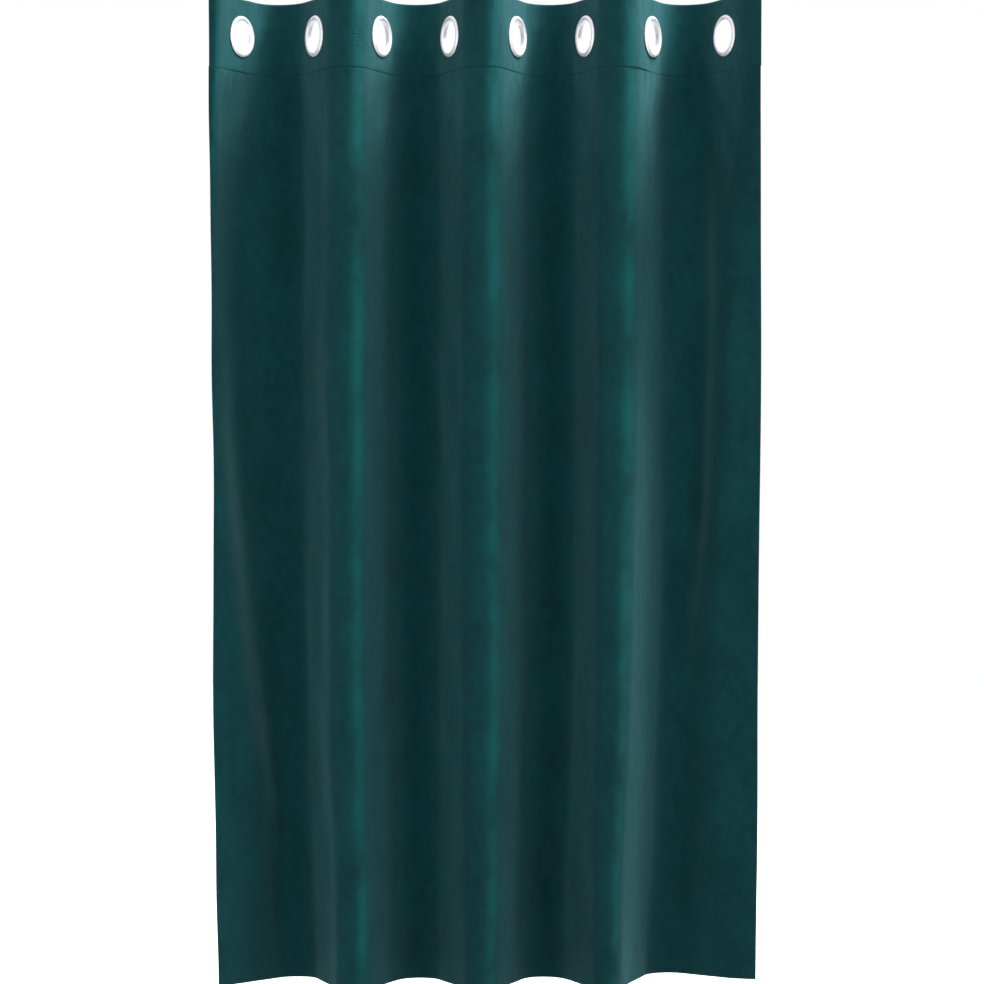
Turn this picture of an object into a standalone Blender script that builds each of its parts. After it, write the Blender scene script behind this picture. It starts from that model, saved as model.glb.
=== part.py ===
"""Velvet eyelet curtain, hanging in its folds.

Metres, +Z up. X runs across the curtain, -Y is its front, and the origin is in the
middle of its top edge, at the mean depth of the folds. The cloth doesn't stretch:
the folds at every height take up the same flat width.
"""

import math
from itertools import pairwise
from typing import NamedTuple

import bmesh
import bpy
from mathutils import Matrix, Vector

MM = 0.001

# Cloth, laid flat
FLAT_WIDTH = 1219 * MM
DROP = 1370 * MM
HEADING_DEPTH = 102 * MM
PANEL_THICKNESS = 1.6 * MM
HEADING_THICKNESS = 2.4 * MM
HEADING_OVERHANG = 0.8 * MM
GAP = 0.3 * MM
# How far each heading piece is drawn in where it is parted: on the inside of a turn,
# this leaves about GAP between the two corners
PARTING = 0.32 * MM

# Eyelets: a front half with a barrel through the cloth, and a washer behind it
EYELET_DROP = 52 * MM
EYELET_CLEAR_RADIUS = 21.9 * MM
EYELET_OUTER_RADIUS = 28.5 * MM
BARREL_WALL = 0.9 * MM
BARREL_REACH = 2.0 * MM
FRONT_RISE = 3.0 * MM
BACK_RISE = 2.2 * MM
RING_STEPS = 24
# Each eyelet's flank, and its place along it as a share from left to right
EYELETS = (
    (0, 0.61),
    (2, 0.50),
    (3, 0.55),
    (4, 0.45),
    (5, 0.60),
    (6, 0.49),
    (7, 0.60),
    (8, 0.46),
)

# Steps of the meshes
PANEL_ROWS = 16
FLANK_STEPS = 3
HEADING_FLANK_STEPS = 1
GATHER_ROUNDS = 30
LEAST_GATHER = 0.7
MOST_GATHER = 1.4

FRONT = 1
BACK = -1


class Turn(NamedTuple):
    """A rounded turn of the folds, at even heights from the seam to the hem.

    x and depth place its outermost point, in millimetres; depth is positive
    towards the back. parting is the step of the turn at which the heading is
    parted, where it is.
    """

    name: str
    side: int
    steps: int
    x: tuple
    depth: tuple
    radius: tuple
    parting: int | None = None


class FreeEdge(NamedTuple):
    """How the cloth leaves its first or last turn, at even heights too.

    angle is the cloth's heading there, in degrees towards the back, and reach
    is the straight length up to the edge, in millimetres.
    """

    name: str
    angle: tuple
    reach: tuple


# The first valley is in two halves, the left one wider. Each turn has its x, depth and
# radius, from the seam to the hem.
TURNS = (
    Turn(
        "left_rim",
        FRONT,
        5,
        (-373, -382, -381, -370, -342, -325, -320),
        (-48, -19, -18, -14, 0, 13, 24),
        (8, 8, 8, 14, 10, 14, 20),
    ),
    Turn(
        "valley_1_left",
        BACK,
        4,
        (-289, -292, -290, -288, -283, -277, -268),
        (52, 53, 54, 55.5, 57, 58, 59),
        (37, 80, 78, 58, 38, 31, 28),
    ),
    Turn(
        "valley_1_right",
        BACK,
        4,
        (-285, -284, -283, -282, -277, -269, -260),
        (52, 53, 54, 55.5, 57, 58, 59),
        (37, 37, 37, 36, 34, 31, 28),
        parting=0,
    ),
    Turn(
        "crest_1",
        FRONT,
        8,
        (-189, -188, -187, -178),
        (-52, -56, -60, -62),
        (31.5, 31, 29, 27),
        parting=4,
    ),
    Turn(
        "valley_2",
        BACK,
        8,
        (-95, -95.5, -93.5, -90.5),
        (52, 51, 50, 47),
        (39, 39.5, 37, 33),
        parting=4,
    ),
    Turn(
        "crest_2",
        FRONT,
        8,
        (-1, -1.5, -1.5, -2.5),
        (-52, -56, -60, -62),
        (31.5, 32, 32, 26),
        parting=4,
    ),
    Turn(
        "valley_3",
        BACK,
        8,
        (92.5, 94, 92, 84.5),
        (52, 54, 55, 56),
        (39.5, 37.5, 36.5, 33),
        parting=4,
    ),
    Turn(
        "crest_3",
        FRONT,
        8,
        (186, 184.5, 178.5, 169),
        (-52, -57, -60, -58),
        (32, 30, 27, 20),
        parting=4,
    ),
    Turn(
        "valley_4",
        BACK,
        8,
        (282, 290, 282, 279, 273, 269, 262),
        (52, 56, 60, 68, 76, 86, 95),
        (40, 46, 40, 35, 32, 34, 38),
        parting=4,
    ),
    Turn(
        "right_rim",
        FRONT,
        5,
        (384, 366, 354, 344, 338, 350, 371),
        (-66.6, 2, 8, 21, 42, 40, 37),
        (30, 30, 24, 26, 34, 50, 60),
    ),
)
LEFT_EDGE = FreeEdge("left_edge", (-35, 45, 45, 8, 20, 34, 43), (2, 3, 3, 7, 40, 66, 87))
RIGHT_EDGE = FreeEdge("right_edge", (-15, -8, -8, -10, -10, -10, -11), (3.5, 24, 36, 46, 53, 43, 22))


def at_height(values, share):
    """The value at a share of the way from the seam (0) to the hem (1), on a smooth curve."""
    spans = len(values) - 1
    place = min(max(share * spans, 0.0), spans - 1e-9)
    i = int(place)
    f = place - i
    start_slope = (values[i + 1] - values[max(i - 1, 0)]) / 2
    end_slope = (values[min(i + 2, spans)] - values[i]) / 2
    return (
        values[i] * (2 * f**3 - 3 * f**2 + 1)
        + start_slope * (f**3 - 2 * f**2 + f)
        + values[i + 1] * (3 * f**2 - 2 * f**3)
        + end_slope * (f**3 - f**2)
    )


def direction(angle):
    return Vector((math.cos(angle), math.sin(angle)))


def backward(angle):
    """Square to a direction, towards the back of the cloth."""
    return Vector((-math.sin(angle), math.cos(angle)))


class Section:
    """The cloth seen from above at one height: round turns joined by straight flanks."""

    def __init__(self, share, gather, overhang=0.0):
        self.circles = []
        for turn in TURNS:
            radius = turn.side * at_height(turn.radius, share) * MM
            x = at_height(turn.x, share) * MM
            depth = gather * at_height(turn.depth, share) * MM
            self.circles.append((Vector((x, depth + radius)), radius))
        self.angles = [math.radians(at_height(LEFT_EDGE.angle, share))]
        self.angles += [self.tangent(a, b) for a, b in pairwise(self.circles)]
        self.angles.append(math.radians(at_height(RIGHT_EDGE.angle, share)))
        self.first_reach = at_height(LEFT_EDGE.reach, share) * MM + overhang
        self.last_reach = at_height(RIGHT_EDGE.reach, share) * MM + overhang

    @staticmethod
    def tangent(first, second):
        """The angle of the flank that touches both turns, each on its own side."""
        (from_centre, from_radius), (to_centre, to_radius) = first, second
        across = to_centre - from_centre
        lean = math.asin((to_radius - from_radius) / across.length)
        return math.atan2(across.y, across.x) - lean

    def on_turn(self, i, angle):
        centre, radius = self.circles[i]
        return centre - radius * backward(angle)

    def flank(self, i):
        """The two ends of the straight flank between turn i and the next one."""
        angle = self.angles[i + 1]
        return self.on_turn(i, angle), self.on_turn(i + 1, angle)

    def length(self):
        arcs = sum(
            radius * (after - before)
            for (_, radius), (before, after) in zip(self.circles, pairwise(self.angles))
        )
        flanks = [self.flank(i) for i in range(len(TURNS) - 1)]
        straights = sum((end - start).length for start, end in flanks)
        return arcs + straights + self.first_reach + self.last_reach

    def points(self, flank_steps):
        """The section's points from the left edge to the right one."""
        first = self.on_turn(0, self.angles[0])
        found = [first - self.first_reach * direction(self.angles[0])]
        for i, turn in enumerate(TURNS):
            before, after = self.angles[i], self.angles[i + 1]
            for k in range(turn.steps + 1):
                found.append(self.on_turn(i, before + (after - before) * k / turn.steps))
            if i + 1 < len(TURNS):
                start, end = self.flank(i)
                found += [start.lerp(end, k / flank_steps) for k in range(1, flank_steps)]
        last = found[-1]
        found.append(last + self.last_reach * direction(self.angles[-1]))
        return found


def gathered_section(share, overhang=0.0):
    """The section at this height, its folds as deep as the flat width makes them."""
    least, most = LEAST_GATHER, MOST_GATHER
    for _ in range(GATHER_ROUNDS):
        gather = (least + most) / 2
        if Section(share, gather).length() < FLAT_WIDTH:
            least = gather
        else:
            most = gather
    return Section(share, gather, overhang)


def clear_scene():
    for obj in list(bpy.data.objects):
        bpy.data.objects.remove(obj)


def new_collection(name):
    collection = bpy.data.collections.new(name)
    bpy.context.scene.collection.children.link(collection)
    return collection


def new_material(name, colour, roughness, metallic=0.0):
    material = bpy.data.materials.new(name)
    material.use_nodes = True
    shader = material.node_tree.nodes["Principled BSDF"]
    shader.inputs["Base Color"].default_value = (*colour, 1.0)
    shader.inputs["Roughness"].default_value = roughness
    shader.inputs["Metallic"].default_value = metallic
    return material


def new_object(name, mesh, collection, material=None):
    obj = bpy.data.objects.new(name, mesh)
    collection.objects.link(obj)
    if material:
        mesh.materials.append(material)
    return obj


def hung_rows(top, bottom, rows, flank_steps, overhang=0.0):
    """The points of the folds in even rows from one height to another."""
    lines = []
    for row in range(rows + 1):
        z = top + (bottom - top) * row / rows
        share = max(0.0, (-z - HEADING_DEPTH) / (DROP - HEADING_DEPTH))
        section = gathered_section(share, overhang)
        lines.append([point.to_3d() + Vector((0, 0, z)) for point in section.points(flank_steps)])
    return lines


def hung_cloth(name, lines):
    """An open sheet through rows of points, a flat grid pushed into the folds."""
    rows = len(lines) - 1
    columns = len(lines[0]) - 1
    sheet = bmesh.new()
    bmesh.ops.create_grid(sheet, x_segments=columns, y_segments=rows, size=0.5)
    for vert in sheet.verts:
        column = round((vert.co.x + 0.5) * columns)
        row = round((0.5 - vert.co.y) * rows)
        vert.co = lines[row][column]
    mesh = bpy.data.meshes.new(name)
    sheet.to_mesh(mesh)
    sheet.free()
    return mesh


def give_thickness(obj, thickness):
    solidify = obj.modifiers.new("Thickness", "SOLIDIFY")
    solidify.thickness = thickness
    solidify.offset = 0.0
    solidify.use_even_offset = True
    solidify.use_rim = True


def shade_round(mesh):
    mesh.shade_smooth()
    mesh.set_sharp_from_angle(angle=math.radians(40))


def make_panel(collection, material):
    """The body of the curtain, from just under the seam to the hem."""
    mesh = hung_cloth("panel", hung_rows(-HEADING_DEPTH - GAP, -DROP, PANEL_ROWS, FLANK_STEPS))
    shade_round(mesh)
    panel = new_object("panel", mesh, collection, material)
    give_thickness(panel, PANEL_THICKNESS)
    return panel


def partings(line):
    """Where the heading is parted in a row of its points, with the row's two ends."""
    places = [0]
    start = 1
    for turn in TURNS:
        if turn.parting is not None:
            places.append(start + turn.parting)
        start += turn.steps + HEADING_FLANK_STEPS
    return [*places, len(line) - 1]


def flank_run(line, first, last):
    """The row's points from one place to another, drawn in a little where it is parted."""
    run = line[first : last + 1]
    if first > 0:
        run[0] = run[0] + PARTING * (run[1] - run[0]).normalized()
    if last < len(line) - 1:
        run[-1] = run[-1] + PARTING * (run[-2] - run[-1]).normalized()
    return run


def make_heading(collection, material, cutter):
    """The doubled strip along the top, parted on the turns, one flank and eyelet each."""
    lines = hung_rows(0.0, -HEADING_DEPTH, 1, HEADING_FLANK_STEPS, HEADING_OVERHANG)
    for number, (first, last) in enumerate(pairwise(partings(lines[0])), start=1):
        name = f"heading_{number}"
        mesh = hung_cloth(name, [flank_run(line, first, last) for line in lines])
        shade_round(mesh)
        heading = new_object(name, mesh, collection, material)
        give_thickness(heading, HEADING_THICKNESS)
        holes = heading.modifiers.new("Eyelet holes", "BOOLEAN")
        holes.operation = "DIFFERENCE"
        holes.object = cutter


def eyelet_places():
    """A matrix for each eyelet: on its flank, with +Z square out of the cloth's front."""
    section = gathered_section(0.0)
    places = []
    for i, share in EYELETS:
        start, end = section.flank(i)
        centre = start.lerp(end, share).to_3d() - Vector((0, 0, EYELET_DROP))
        along = direction(section.angles[i + 1]).to_3d()
        up = Vector((0, 0, 1))
        turn = Matrix((up, -along, -backward(section.angles[i + 1]).to_3d())).transposed()
        places.append(Matrix.Translation(centre) @ turn.to_4x4())
    return places


def make_hole_cutter(collection, places):
    """One round punch for each eyelet, a little wider than the barrel."""
    radius = EYELET_CLEAR_RADIUS + BARREL_WALL + GAP
    punches = bmesh.new()
    for place in places:
        bmesh.ops.create_cone(
            punches,
            cap_ends=True,
            segments=RING_STEPS,
            radius1=radius,
            radius2=radius,
            depth=8 * HEADING_THICKNESS,
            matrix=place,
        )
    mesh = bpy.data.meshes.new("hole_cutter")
    punches.to_mesh(mesh)
    punches.free()
    cutter = new_object("hole_cutter", mesh, collection)
    cutter.hide_render = True
    cutter.display_type = "WIRE"
    return cutter


def turned(name, profile, collection, material, place):
    """A ring turned round its +Z axis from a closed profile of (radius, height) points."""
    mesh = bpy.data.meshes.new(name)
    corners = [(radius, 0.0, height) for radius, height in profile]
    edges = [(i, (i + 1) % len(corners)) for i in range(len(corners))]
    mesh.from_pydata(corners, edges, [])
    ring = new_object(name, mesh, collection, material)
    ring.matrix_world = place
    screw = ring.modifiers.new("Turn", "SCREW")
    screw.axis = "Z"
    screw.steps = RING_STEPS
    screw.render_steps = RING_STEPS
    screw.use_merge_vertices = True
    screw.merge_threshold = 0.00001
    screw.use_smooth_shade = True
    return ring


def front_profile():
    """A rounded flange on the cloth, and the barrel that goes through it."""
    seat = HEADING_THICKNESS / 2 + GAP
    outer = EYELET_OUTER_RADIUS
    inner = EYELET_CLEAR_RADIUS
    width = outer - inner
    end = -HEADING_THICKNESS / 2 - BARREL_REACH
    return (
        (inner + 0.5 * width, seat + FRONT_RISE),
        (inner + 0.8 * width, seat + 0.8 * FRONT_RISE),
        (outer - 0.03 * width, seat + 0.4 * FRONT_RISE),
        (outer, seat),
        (inner + BARREL_WALL, seat),
        (inner + BARREL_WALL, end),
        (inner, end),
        (inner, seat + 0.2 * FRONT_RISE),
        (inner + 0.18 * width, seat + 0.8 * FRONT_RISE),
    )


def back_profile():
    """A rounded washer behind the cloth, round the barrel's end."""
    seat = -HEADING_THICKNESS / 2 - GAP
    outer = EYELET_OUTER_RADIUS
    inner = EYELET_CLEAR_RADIUS + BARREL_WALL + GAP
    width = outer - inner
    return (
        (inner, seat),
        (outer, seat),
        (outer - 0.1 * width, seat - 0.6 * BACK_RISE),
        (inner + 0.5 * width, seat - BACK_RISE),
        (inner, seat - 0.7 * BACK_RISE),
    )


def make_eyelets(collection, material, places):
    for number, place in enumerate(places, start=1):
        turned(f"eyelet_front_{number}", front_profile(), collection, material, place)
        turned(f"eyelet_back_{number}", back_profile(), collection, material, place)


def main():
    clear_scene()
    parts = new_collection("velvet_eyelet_curtain")
    cutters = new_collection("cutters")
    velvet = new_material("Teal velvet", (0.008, 0.07, 0.075), 0.85)
    doubled_velvet = new_material("Teal velvet, doubled", (0.009, 0.078, 0.082), 0.85)
    silver = new_material("Satin silver metal", (0.8, 0.8, 0.82), 0.3, metallic=1.0)
    places = eyelet_places()
    cutter = make_hole_cutter(cutters, places)
    make_panel(parts, velvet)
    make_heading(parts, doubled_velvet, cutter)
    make_eyelets(parts, silver, places)


main()
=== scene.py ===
"""The dressed look of a velvet eyelet curtain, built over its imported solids.

Metres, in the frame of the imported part: +Z up, -Y out of the curtain's front, and the
origin in the middle of its top edge. The two sheets of velvet hang in the folds of
their solids in finer steps, with their stitching, hems and nap.
"""

import logging
import math
from collections.abc import Sequence
from dataclasses import dataclass, field
from enum import Enum
from itertools import pairwise
from typing import Any

import bmesh
import bpy
import numpy as np
from mathutils import Matrix, Vector


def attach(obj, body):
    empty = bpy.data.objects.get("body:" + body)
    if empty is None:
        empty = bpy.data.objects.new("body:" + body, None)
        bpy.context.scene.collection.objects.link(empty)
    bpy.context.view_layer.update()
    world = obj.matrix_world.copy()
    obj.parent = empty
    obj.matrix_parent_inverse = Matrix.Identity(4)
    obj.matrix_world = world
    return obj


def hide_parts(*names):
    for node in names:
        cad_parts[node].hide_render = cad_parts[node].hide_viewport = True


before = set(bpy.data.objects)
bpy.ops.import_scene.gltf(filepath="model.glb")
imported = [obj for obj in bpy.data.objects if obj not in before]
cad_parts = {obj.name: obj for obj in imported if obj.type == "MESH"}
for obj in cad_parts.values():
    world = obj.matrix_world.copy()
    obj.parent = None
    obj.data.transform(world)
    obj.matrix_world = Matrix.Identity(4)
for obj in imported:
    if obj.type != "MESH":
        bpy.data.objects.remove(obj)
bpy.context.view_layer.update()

MM = 0.001
CLOTH_MAP = "cloth"
# Map of painted light: painted highlight on the crests' right shoulders, painted sheen along the
# soft folds.
PAINTED_LIGHT_MAP = "ridge"
MIX_INPUTS, MIX_RESULT = (0, 6, 7), 2
WHITE = (1.0, 1.0, 1.0)

Heights = tuple[float, ...]
Colour = tuple[float, float, float]
Point = tuple[float, float, float]

log = logging.getLogger("curtain")


# ------------------------------------------------------------------ the folds


class Side(Enum):
    """Which way a turn of the folds bulges."""

    FRONT = 1
    BACK = -1


@dataclass(frozen=True)
class Turn:
    """A rounded turn of the folds, at even heights from the seam to the hem.

    x and depth place its outermost point and radius rounds it, all in millimetres;
    depth is positive towards the back.
    """

    side: Side
    x: Heights
    depth: Heights
    radius: Heights


@dataclass(frozen=True)
class FreeEdge:
    """How the cloth leaves its first or last turn, at even heights too.

    angle is the cloth's heading there, in degrees towards the back, and reach is
    the straight length up to the edge, in millimetres.
    """

    angle: Heights
    reach: Heights


# The first valley is in two halves, the left one wider.
TURNS = {
    # name: side, x, depth, radius
    "left_rim": Turn(
        Side.FRONT,
        (-373, -382, -381, -370, -342, -325, -320),
        (-48, -19, -18, -14, 0, 13, 24),
        (8, 8, 8, 14, 10, 14, 20),
    ),
    "valley_1_left": Turn(
        Side.BACK,
        (-289, -292, -290, -288, -283, -277, -268),
        (52, 53, 54, 55.5, 57, 58, 59),
        (37, 80, 78, 58, 38, 31, 28),
    ),
    "valley_1_right": Turn(
        Side.BACK,
        (-285, -284, -283, -282, -277, -269, -260),
        (52, 53, 54, 55.5, 57, 58, 59),
        (37, 37, 37, 36, 34, 31, 28),
    ),
    "crest_1": Turn(Side.FRONT, (-189, -188, -187, -178), (-52, -56, -60, -62), (31.5, 31, 29, 27)),
    "valley_2": Turn(Side.BACK, (-95, -95.5, -93.5, -90.5), (52, 51, 50, 47), (39, 39.5, 37, 33)),
    "crest_2": Turn(Side.FRONT, (-1, -1.5, -1.5, -2.5), (-52, -56, -60, -62), (31.5, 32, 32, 26)),
    "valley_3": Turn(Side.BACK, (92.5, 94, 92, 84.5), (52, 54, 55, 56), (39.5, 37.5, 36.5, 33)),
    "crest_3": Turn(Side.FRONT, (186, 184.5, 178.5, 169), (-52, -57, -60, -58), (32, 30, 27, 20)),
    "valley_4": Turn(
        Side.BACK,
        (282, 290, 282, 279, 273, 269, 262),
        (52, 56, 60, 68, 76, 86, 95),
        (40, 46, 40, 35, 32, 34, 38),
    ),
    "right_rim": Turn(
        Side.FRONT,
        (384, 366, 354, 344, 338, 350, 371),
        (-66.6, 2, 8, 21, 42, 40, 37),
        (30, 30, 24, 26, 34, 50, 60),
    ),
}
LEFT_EDGE = FreeEdge((-35, 45, 45, 8, 20, 34, 43), (2, 3, 3, 7, 40, 66, 87))
RIGHT_EDGE = FreeEdge((-15, -8, -8, -10, -10, -10, -11), (3.5, 24, 36, 46, 53, 43, 22))


def at_height(values: Heights, share: float) -> float:
    """Find the value at a share of the way from the seam to the hem, on a smooth curve.

    Args:
        values: The value at even heights.
        share: 0 at the seam and 1 at the hem.

    Returns:
        The value there.
    """
    spans = len(values) - 1
    place = min(max(share, 0.0), 1.0) * spans
    i = min(int(place), spans - 1)
    f = place - i
    start_slope = (values[i + 1] - values[max(i - 1, 0)]) / 2
    end_slope = (values[min(i + 2, spans)] - values[i]) / 2
    return (
        values[i] * (2 * f**3 - 3 * f**2 + 1)
        + start_slope * (f**3 - 2 * f**2 + f)
        + values[i + 1] * (3 * f**2 - 2 * f**3)
        + end_slope * (f**3 - f**2)
    )


def resampled(places: np.ndarray, known: np.ndarray, points: np.ndarray) -> np.ndarray:
    """Read (x, y) points off at new places, given those where they are known."""
    return np.stack([np.interp(places, known, points[:, k]) for k in (0, 1)], axis=1)


def along(angle: float) -> Vector:
    """Give the unit vector at this heading, seen from above."""
    return Vector((math.cos(angle), math.sin(angle)))


def backward(angle: float) -> Vector:
    """Give the unit vector square to this heading, towards the back."""
    return Vector((-math.sin(angle), math.cos(angle)))


class Section:
    """The cloth seen from above at one height: round turns joined by straight flanks."""

    ARC_STEP = math.radians(2)

    def __init__(self, share: float, gather: float) -> None:
        """Lay out the turns.

        Args:
            share: The height, 0 at the seam and 1 at the hem.
            gather: A factor on how deep the folds are.
        """
        self.circles: list[tuple[Vector, float]] = []
        for turn in TURNS.values():
            radius = turn.side.value * at_height(turn.radius, share) * MM
            x = at_height(turn.x, share) * MM
            depth = gather * at_height(turn.depth, share) * MM
            self.circles.append((Vector((x, depth + radius)), radius))
        self.angles = [math.radians(at_height(LEFT_EDGE.angle, share))]
        self.angles += [self.flank_angle(a, b) for a, b in pairwise(self.circles)]
        self.angles.append(math.radians(at_height(RIGHT_EDGE.angle, share)))
        self.first_reach = at_height(LEFT_EDGE.reach, share) * MM
        self.last_reach = at_height(RIGHT_EDGE.reach, share) * MM

    @staticmethod
    def flank_angle(first: tuple[Vector, float], second: tuple[Vector, float]) -> float:
        """Find the heading of the flank that touches two turns, each on its own side.

        Args:
            first: The centre and the radius of the turn on its left.
            second: Those of the turn on its right.

        Returns:
            The heading, in radians towards the back.
        """
        across = second[0] - first[0]
        lean = math.asin((second[1] - first[1]) / across.length)
        return math.atan2(across.y, across.x) - lean

    def on_turn(self, i: int, angle: float) -> Vector:
        """Give the point of turn i where the cloth has this heading."""
        centre, radius = self.circles[i]
        return centre - radius * backward(angle)

    def flank(self, i: int) -> tuple[Vector, Vector]:
        """Give the two ends of the straight flank between turn i and the next one."""
        angle = self.angles[i + 1]
        return self.on_turn(i, angle), self.on_turn(i + 1, angle)

    def length(self) -> float:
        """Measure the cloth along the section.

        Returns:
            Its length.
        """
        arcs = sum(
            radius * (after - before)
            for (_, radius), (before, after) in zip(self.circles, pairwise(self.angles))
        )
        flanks = [self.flank(i) for i in range(len(TURNS) - 1)]
        straights = sum((end - start).length for start, end in flanks)
        return arcs + straights + self.first_reach + self.last_reach

    def outline(self) -> np.ndarray:
        """Trace the section from its left edge to its right one.

        Returns:
            The points of the trace, one row of (x, y) each.
        """
        found = [self.on_turn(0, self.angles[0]) - self.first_reach * along(self.angles[0])]
        for i, (before, after) in enumerate(pairwise(self.angles)):
            steps = max(2, math.ceil(abs(after - before) / self.ARC_STEP))
            found += [
                self.on_turn(i, before + (after - before) * k / steps) for k in range(steps + 1)
            ]
        found.append(found[-1] + self.last_reach * along(self.angles[-1]))
        return np.array([tuple(point) for point in found])


@dataclass
class Hang:
    """The way in which the whole curtain hangs.

    Every height takes up the same flat width, so a place on the cloth is its
    distance from the left edge, laid flat, and its height.
    """

    flat_width: float = 1219 * MM
    drop: float = 1370 * MM
    heading_depth: float = 102 * MM
    softness: float = 4 * MM
    trace_step: float = 1 * MM
    rounds: int = 30
    least_gather: float = 0.7
    most_gather: float = 1.4

    def below_seam(self, z: float) -> float:
        """Give how far a height lies below the seam."""
        return -z - self.heading_depth

    def share(self, z: float) -> float:
        """Turn a height into its share of the way from the seam to the hem."""
        return float(max(0.0, self.below_seam(z) / (self.drop - self.heading_depth)))

    def from_edge(self, stations: np.ndarray) -> np.ndarray:
        """Give how far places lie from the nearer side edge, with the cloth laid flat."""
        return np.minimum(stations, self.flat_width - stations)

    def section(self, z: float) -> Section:
        """Find the section at a height, its folds as deep as the flat width makes them.

        Args:
            z: The height.

        Returns:
            The section.
        """
        share = self.share(z)
        least, most = self.least_gather, self.most_gather
        for _ in range(self.rounds):
            gather = (least + most) / 2
            if Section(share, gather).length() < self.flat_width:
                least = gather
            else:
                most = gather
        return Section(share, gather)

    def eased(self, points: np.ndarray) -> np.ndarray:
        """Round off the places where a turn meets a flank.

        Args:
            points: Evenly spaced points of a section.

        Returns:
            The same number of points, averaged with their neighbours.
        """
        reach = math.ceil(3 * self.softness / self.trace_step)
        offsets = np.arange(-reach, reach + 1) * self.trace_step
        weights = np.exp(-0.5 * (offsets / self.softness) ** 2)
        weights /= weights.sum()
        before = 2 * points[0] - points[reach:0:-1]
        after = 2 * points[-1] - points[-2 : -reach - 2 : -1]
        padded = np.concatenate([before, points, after])
        return np.stack([np.convolve(padded[:, k], weights, "valid") for k in (0, 1)], axis=1)

    def row(self, z: float, stations: np.ndarray) -> tuple[np.ndarray, np.ndarray]:
        """Place a row of the cloth.

        Args:
            z: The row's height.
            stations: Distances from the left edge, with the cloth laid flat.

        Returns:
            The row's (x, y) points, and the unit vectors out of its front there.
        """
        outline = self.section(z).outline()
        gaps = np.linalg.norm(np.diff(outline, axis=0), axis=1)
        lengths = np.concatenate([[0.0], np.cumsum(gaps)])
        lengths *= self.flat_width / lengths[-1]
        even = np.linspace(0.0, self.flat_width, round(self.flat_width / self.trace_step) + 1)
        trace = self.eased(resampled(even, lengths, outline))
        headings = np.gradient(trace, axis=0)
        fronts = np.stack([headings[:, 1], -headings[:, 0]], axis=1)
        fronts /= np.linalg.norm(fronts, axis=1, keepdims=True)
        return resampled(stations, even, trace), resampled(stations, even, fronts)


# ------------------------------------------------------------------ shader tools


class Signal:
    """A shader socket that takes part in Python sums through Math nodes."""

    def __init__(self, bench: "NodeBench", socket: bpy.types.NodeSocket) -> None:
        """Wrap a socket of a bench's node tree."""
        self.bench = bench
        self.socket = socket

    def maths(self, operation: str, first: Any, second: Any = None) -> "Signal":
        """Add a Math node.

        Args:
            operation: The node's operation.
            first: Its first value or signal.
            second: Its second one, where it has two.

        Returns:
            The node's result.
        """
        values = {0: first} if second is None else {0: first, 1: second}
        node = self.bench.node("ShaderNodeMath", {"operation": operation}, values)
        return Signal(self.bench, node.outputs[0])

    def __add__(self, other: Any) -> "Signal":
        """Add a value or signal."""
        return self.maths("ADD", self, other)

    __radd__ = __add__

    def __mul__(self, other: Any) -> "Signal":
        """Multiply by a value or signal."""
        return self.maths("MULTIPLY", self, other)

    __rmul__ = __mul__

    def __sub__(self, other: Any) -> "Signal":
        """Take away a value or signal."""
        return self.maths("SUBTRACT", self, other)

    def __rsub__(self, other: Any) -> "Signal":
        """Take this signal away from a value."""
        return self.maths("SUBTRACT", other, self)

    def __pow__(self, other: Any) -> "Signal":
        """Raise to a power."""
        return self.maths("POWER", self, other)

    def __abs__(self) -> "Signal":
        """Drop the sign."""
        return self.maths("ABSOLUTE", self)

    def clipped(self) -> "Signal":
        """Hold the signal between 0 and 1.

        Returns:
            The held signal.
        """
        values = {"Value": self, "Min": 0.0, "Max": 1.0}
        node = self.bench.node("ShaderNodeClamp", {}, values)
        return Signal(self.bench, node.outputs[0])


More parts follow.
